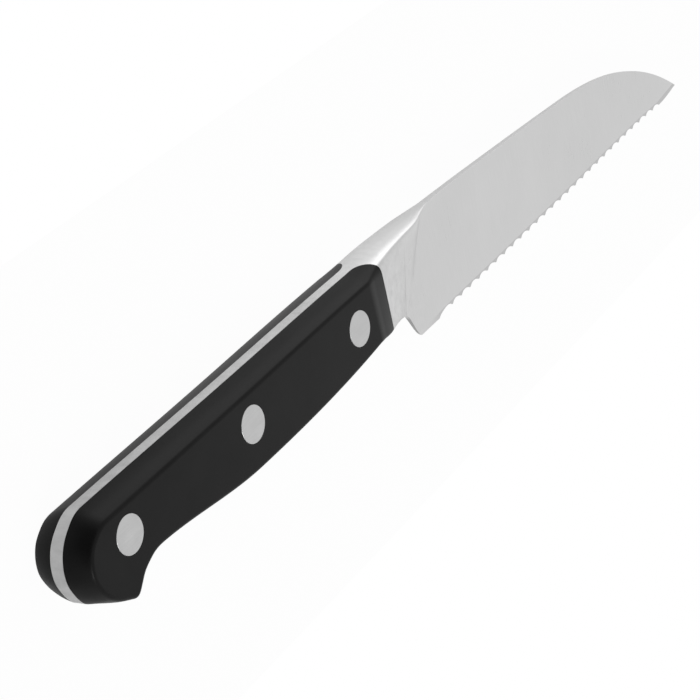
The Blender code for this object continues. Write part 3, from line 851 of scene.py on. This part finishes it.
def satin_steel():
    """Fine grinding lines from spine to edge, with soft cloudy wear over them."""
    material, tree, shader = new_finish("satin_steel_lines", Metallic=1.0)
    lines = pattern(tree, (7.0, 0.12, 7.0), detail=3.0, roughness=0.6)
    clouds = pattern(tree, (0.07, 0.05, 0.07), detail=3.0)
    mottle = pattern(tree, (0.6, 0.5, 0.25), detail=3.0, roughness=0.6)
    along, across, aside = knife_axes(tree)
    # The photo shows the bolster's back brighter than these lights make it; painted sheen here.
    # Wear is a guess.
    painted_sheen = ((soft_rise(along, 28, 44) - soft_rise(along, 57, 76))
               * soft_rise(across, 4.5, 7.5) * (1 - soft_rise(aside, 1.0, 4.5)))
    # The tang and bolster look less even than the blade in the photo, as if buffed by hand.
    uneven = (mottle - 0.5) * (1 - soft_rise(along, 46, 74))
    # The honed bevel is coarser and darker; the face below the notch gets painted shade.
    honed = (under_line(along, across, honed_top, HEEL_X, TIP_X, 0.4)
             * soft_rise(along, HEEL_X + 2, FIRST_TOOTH_X))
    # Painted shade darkens the narrow face below the notch, which is also a little rougher.
    notch_face_grit_and_painted_shade = (under_line(along, across, lambda x: edge_height(x) + 0.22, NOTCH_X, HEEL_X, 0.15)
            * soft_rise(along, NOTCH_X + 0.2, NOTCH_X + 1.2)
            * (1 - soft_rise(along, HEEL_X - 0.8, HEEL_X)))
    # The painted sheen lightens the colour of the bolster's back.
    share = (lines * 0.55 + clouds * 0.45) * 0.5 + painted_sheen * 0.5 + uneven - honed * 0.45
    bright = greys(share, (0.0, 0.62), (0.125, 0.69), (0.375, 0.77), (0.5, 0.79), (0.75, 0.84),
                   (1.0, 0.90))
    # The colour carries the painted shade below the notch.
    wire_in(shader,
            Base_Color=bright * (1 - notch_face_grit_and_painted_shade * 0.42),
            Roughness=lines * 0.10 + clouds * 0.06 + 0.22 + honed * 0.05 + notch_face_grit_and_painted_shade * 0.1,
            Normal=bumps(lines, 0.004))
    return material


def rivet_steel():
    """Heads sanded flush with the scales, so their lines run along the handle."""
    material, tree, shader = new_finish("sanded_rivet_steel", Metallic=1.0)
    lines = pattern(tree, (0.25, 9.0, 9.0), detail=3.0, roughness=0.65)
    clouds = pattern(tree, (0.35, 0.35, 0.35))
    wire_in(shader,
            Base_Color=greys(lines * 0.6 + clouds * 0.4, (0.25, 0.55), (0.75, 0.71)),
            Roughness=lines * 0.12 + clouds * 0.08 + 0.27,
            Normal=bumps(lines, 0.005))
    return material


def black_plastic():
    """Dense black plastic, sanded satin, with a fine grain and a gloss that varies softly."""
    material, tree, shader = new_finish("black_scale_satin", Specular_IOR_Level=0.15)
    grain = pattern(tree, (5.0, 9.0, 9.0))
    clouds = pattern(tree, (0.12, 0.12, 0.12), detail=3.0)
    wire_in(shader,
            Base_Color=greys(grain * 0.5 + clouds * 0.5, (0.25, 0.001), (0.75, 0.009)),
            Roughness=clouds * 0.10 + grain * 0.06 + 0.25,
            Normal=bumps(grain, 0.003))
    return material


# Pieces

def dress(obj, body, material, slot, *nodes):
    obj.data.materials.clear()
    obj.data.materials.append(material)
    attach(obj, body)
    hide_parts(*nodes)


def fillet_arc(radius):
    """Quarter round in plan between the tang and the back of the bolster."""
    x, z = FRONT_X - TANG_FILLET, TANG + TANG_FILLET
    angles = [math.radians(7.5 * step - 90) for step in range(13)]
    return [(x + radius * math.cos(angle), z + radius * math.sin(angle)) for angle in angles]


def mirrored(plan):
    return [(x, -z) for x, z in reversed(plan)]


# The steel and the scales are cut from one form, along plans in X and Z that stand along Y.
behind, outside, ahead = BUTT_X - BEYOND, HALF + BEYOND, TIP_X + BEYOND
flare_x = BUTT_X + TANG_FLARE
steel_plan = [(behind, TANG_END), (BUTT_X, TANG_END), (flare_x, TANG), *fillet_arc(TANG_FILLET),
              (FRONT_X, outside), (ahead, outside)]
scale_plan = [(behind, TANG_END + SEAM), (BUTT_X, TANG_END + SEAM), (flare_x, TANG + SEAM),
              *fillet_arc(TANG_FILLET - SEAM), (FRONT_X - SEAM, outside), (behind, outside)]
upright = Matrix.Rotation(math.radians(90), 4, 'X')
leaning = Matrix.Rotation(math.radians(FRONT_LEAN), 4, 'Z') @ upright
cutter_height = 2 * (HEEL_DEPTH + BEYOND)
steel_room = swept("steel_room", steel_plan + mirrored(steel_plan), leaning, cutter_height)
right_room = swept("right_room", scale_plan, leaning, cutter_height)
left_room = swept("left_room", mirrored(scale_plan), leaning, cutter_height)

wide = HEAD_DIAMETER / 2 + RIVET_PLAY
narrow = SLEEVE_DIAMETER / 2 + RIVET_PLAY
seat = HALF - HEAD_THICKNESS
holes = turned("rivet_holes", [
    (0, -outside), (wide, -outside), (wide, -seat), (narrow, -seat), (narrow, seat), (wide, seat),
    (wide, outside), (0, outside)], (-RIVET_SPACING, 0, RIVET_SPACING), ROUND_SIDES)

steel, rivet_finish, plastic = satin_steel(), rivet_steel(), black_plastic()
form = knife_form()

forging = carved("blade_bolster_and_tang", form, [('INTERSECT', steel_room), ('DIFFERENCE', holes)])
grow(forging, scallop_tree(), {
    "First Tooth": ORIGIN.x + FIRST_TOOTH_X * MM, "Pitch": TOOTH_PITCH * MM,
    "Land": TOOTH_LAND * MM, "Depth": TOOTH_DEPTH * MM, "Skew": TOOTH_SKEW, "Teeth": TEETH,
    "Steel": steel})
shade(forging)
dress(forging, "root", steel, "satin_steel", "forged_blade")

for name, room in (("right", right_room), ("left", left_room)):
    scale = carved(name + "_handle_scale", form, [('INTERSECT', room), ('DIFFERENCE', holes)])
    shade(scale)
    dress(scale, "root", plastic, "black_scale", name + "_scale")

rivets = rivet_tree()
for name, turn, hollow, shank_width, shank_length in (
        ("pin", 0.0, False, PIN_DIAMETER, 2 * seat - PIN_SETBACK),
        ("sleeve", math.pi, True, SLEEVE_DIAMETER, 2 * seat)):
    row = new_object(name + "_rivet_halves", bpy.data.meshes.new(name))
    grow(row, rivets, {
        "Count": 3, "Spacing": RIVET_SPACING * MM, "Sides": ROUND_SIDES,
        "Face Height": HALF * MM, "Head Diameter": HEAD_DIAMETER * MM,
        "Head Thickness": HEAD_THICKNESS * MM, "Rim Ease": RIM_EASE * MM,
        "Shank Diameter": shank_width * MM, "Shank Length": shank_length * MM,
        "Bore Diameter": (PIN_DIAMETER + BORE_PLAY) * MM, "Bore Floor": BORE_FLOOR * MM,
        "Hollow": hollow, "Turn": turn, "Steel": rivet_finish})
    row.data.transform(Matrix.Translation(ORIGIN))
    shade(row)
    dress(row, "root", rivet_finish, "rivet_steel",
          *(place + "_rivet_" + name for place in ("front", "middle", "rear")))

for cutter in (steel_room, right_room, left_room, holes):
    bpy.data.objects.remove(cutter, do_unlink=True)


# Floor, light and camera

FLOOR_SIZE = (700, 100)      # a pale sheet; past its edges the steel sees the room's light
FLOOR_DROP = 0.5             # it lies just below the knife
FLOOR_WHITENESS = 0.97       # the rest of what the camera sees is paint with the shadow on it
FLOOR_GLOW = 0.35            # share of glow in what the steel sees; the rest is the same paint
FLOOR_IN_STEEL = (0.20, 1.22)    # strength of that glow at the butt's end and at the blade's
FLOOR_FADE = (-190, -30)     # between these places along X it goes from one to the other

# The room's light: a pale dome with soft panels, and a darker side behind the camera.
DOME = 0.72
PANELS = (                   # azimuth, elevation, half-width in degrees, added light
    (50, -7, 31, 0.96),
    (-25, 20, 45, 0.09),
    (-144, 44, 13, 5.00),
    (135, 14, 62, -0.66),
)

# The camera's place from the middle rivet and its axes, fitted to the photograph
CAMERA_PLACE = Vector((-266.35, 161.21, 223.01 + HALF))
CAMERA_RIGHT = Vector((0.50355, -0.21950, 0.83562))
CAMERA_UP = Vector((0.45541, 0.88934, -0.04083))
CAMERA_BACK = Vector((-0.73419, 0.40111, 0.54779))
FOCAL_LENGTH = 2192.2        # in pixels of the photograph
PHOTO_WIDTH = 700
SENSOR_WIDTH = 36.0


def mix(share, first, second):
    """The first shader, with this share of the second."""
    return node(first.tree, 'ShaderNodeMixShader', {}, {0: share, 1: first, 2: second})


def glow(tree, strength):
    return node(tree, 'ShaderNodeEmission', {}, {'Color': (1, 1, 1, 1), 'Strength': strength})


def end_shading(tree, shading, kind):
    result = tree.nodes.new(kind)
    tree.links.new(shading.socket, result.inputs["Surface"])


def floor():
    """A plain pale floor: white to the camera, with a faint shadow, and pale in the steel."""
    bm = bmesh.new()
    bmesh.ops.create_grid(bm, x_segments=1, y_segments=1, size=1.0)
    mesh = bpy.data.meshes.new("floor")
    bmesh.ops.scale(bm, vec=(FLOOR_SIZE[0] / 2 * MM, FLOOR_SIZE[1] / 2 * MM, 1), verts=bm.verts)
    bm.to_mesh(mesh)
    bm.free()
    ground_plane = new_object("floor", mesh)
    ground_plane.location.z = -FLOOR_DROP * MM
    material = bpy.data.materials.new("pale_floor")
    material.use_nodes = True
    tree = material.node_tree
    tree.nodes.clear()
    paint = node(tree, 'ShaderNodeBsdfDiffuse', {}, {'Color': (0.8, 0.8, 0.8, 1)})
    # In the steel the sheet brightens from the butt's end to the blade's.
    x = node(tree, 'ShaderNodeSeparateXYZ', {}, {
        0: node(tree, 'ShaderNodeTexCoord', output='Object')})
    forward = soft_rise(x, FLOOR_FADE[0] * MM, FLOOR_FADE[1] * MM)
    shown = mix(forward, *(glow(tree, strength) for strength in FLOOR_IN_STEEL))
    for_steel = mix(FLOOR_GLOW, paint, shown)
    for_camera = mix(FLOOR_WHITENESS, paint, glow(tree, 1.0))
    shading = mix(node(tree, 'ShaderNodeLightPath', output='Is Glossy Ray'), paint, for_steel)
    shading = mix(node(tree, 'ShaderNodeLightPath', output='Is Camera Ray'), shading, for_camera)
    end_shading(tree, shading, 'ShaderNodeOutputMaterial')
    mesh.materials.append(material)


def heading(azimuth, elevation):
    """Unit direction, with azimuth 0 to +X and 90 to +Y, in degrees."""
    a, e = math.radians(azimuth), math.radians(elevation)
    return (math.cos(a) * math.cos(e), math.sin(a) * math.cos(e), math.sin(e))


def studio():
    """The world: plain white to the camera, and the room's light to everything else."""
    world = bpy.data.worlds.new("studio")
    world.use_nodes = True
    bpy.context.scene.world = world
    tree = world.node_tree
    tree.nodes.clear()
    direction = node(tree, 'ShaderNodeTexCoord', output='Generated')
    light = DOME
    for azimuth, elevation, half_width, amount in PANELS:
        facing = node(tree, 'ShaderNodeVectorMath', {'operation': 'DOT_PRODUCT'}, {
            0: direction, 1: heading(azimuth, elevation)}, output='Value')
        light = soft_rise(facing, math.cos(math.radians(half_width)), 1.0) * amount + light
    dome, white = (
        node(tree, 'ShaderNodeBackground', {}, {'Color': (1, 1, 1, 1), 'Strength': strength})
        for strength in (light, 1.0))
    shading = mix(node(tree, 'ShaderNodeLightPath', output='Is Camera Ray'), dome, white)
    end_shading(tree, shading, 'ShaderNodeOutputWorld')


floor()
studio()

camera = new_object("camera", bpy.data.cameras.new("camera"))
turn = Matrix((CAMERA_RIGHT, CAMERA_UP, CAMERA_BACK)).transposed().to_4x4()
camera.matrix_world = Matrix.Translation(ORIGIN + CAMERA_PLACE * MM) @ turn
camera.data.sensor_width = SENSOR_WIDTH
camera.data.lens = FOCAL_LENGTH * SENSOR_WIDTH / PHOTO_WIDTH
camera.data.clip_start = 0.01
bpy.context.scene.camera = camera
bpy.context.scene.view_settings.view_transform = 'Standard'
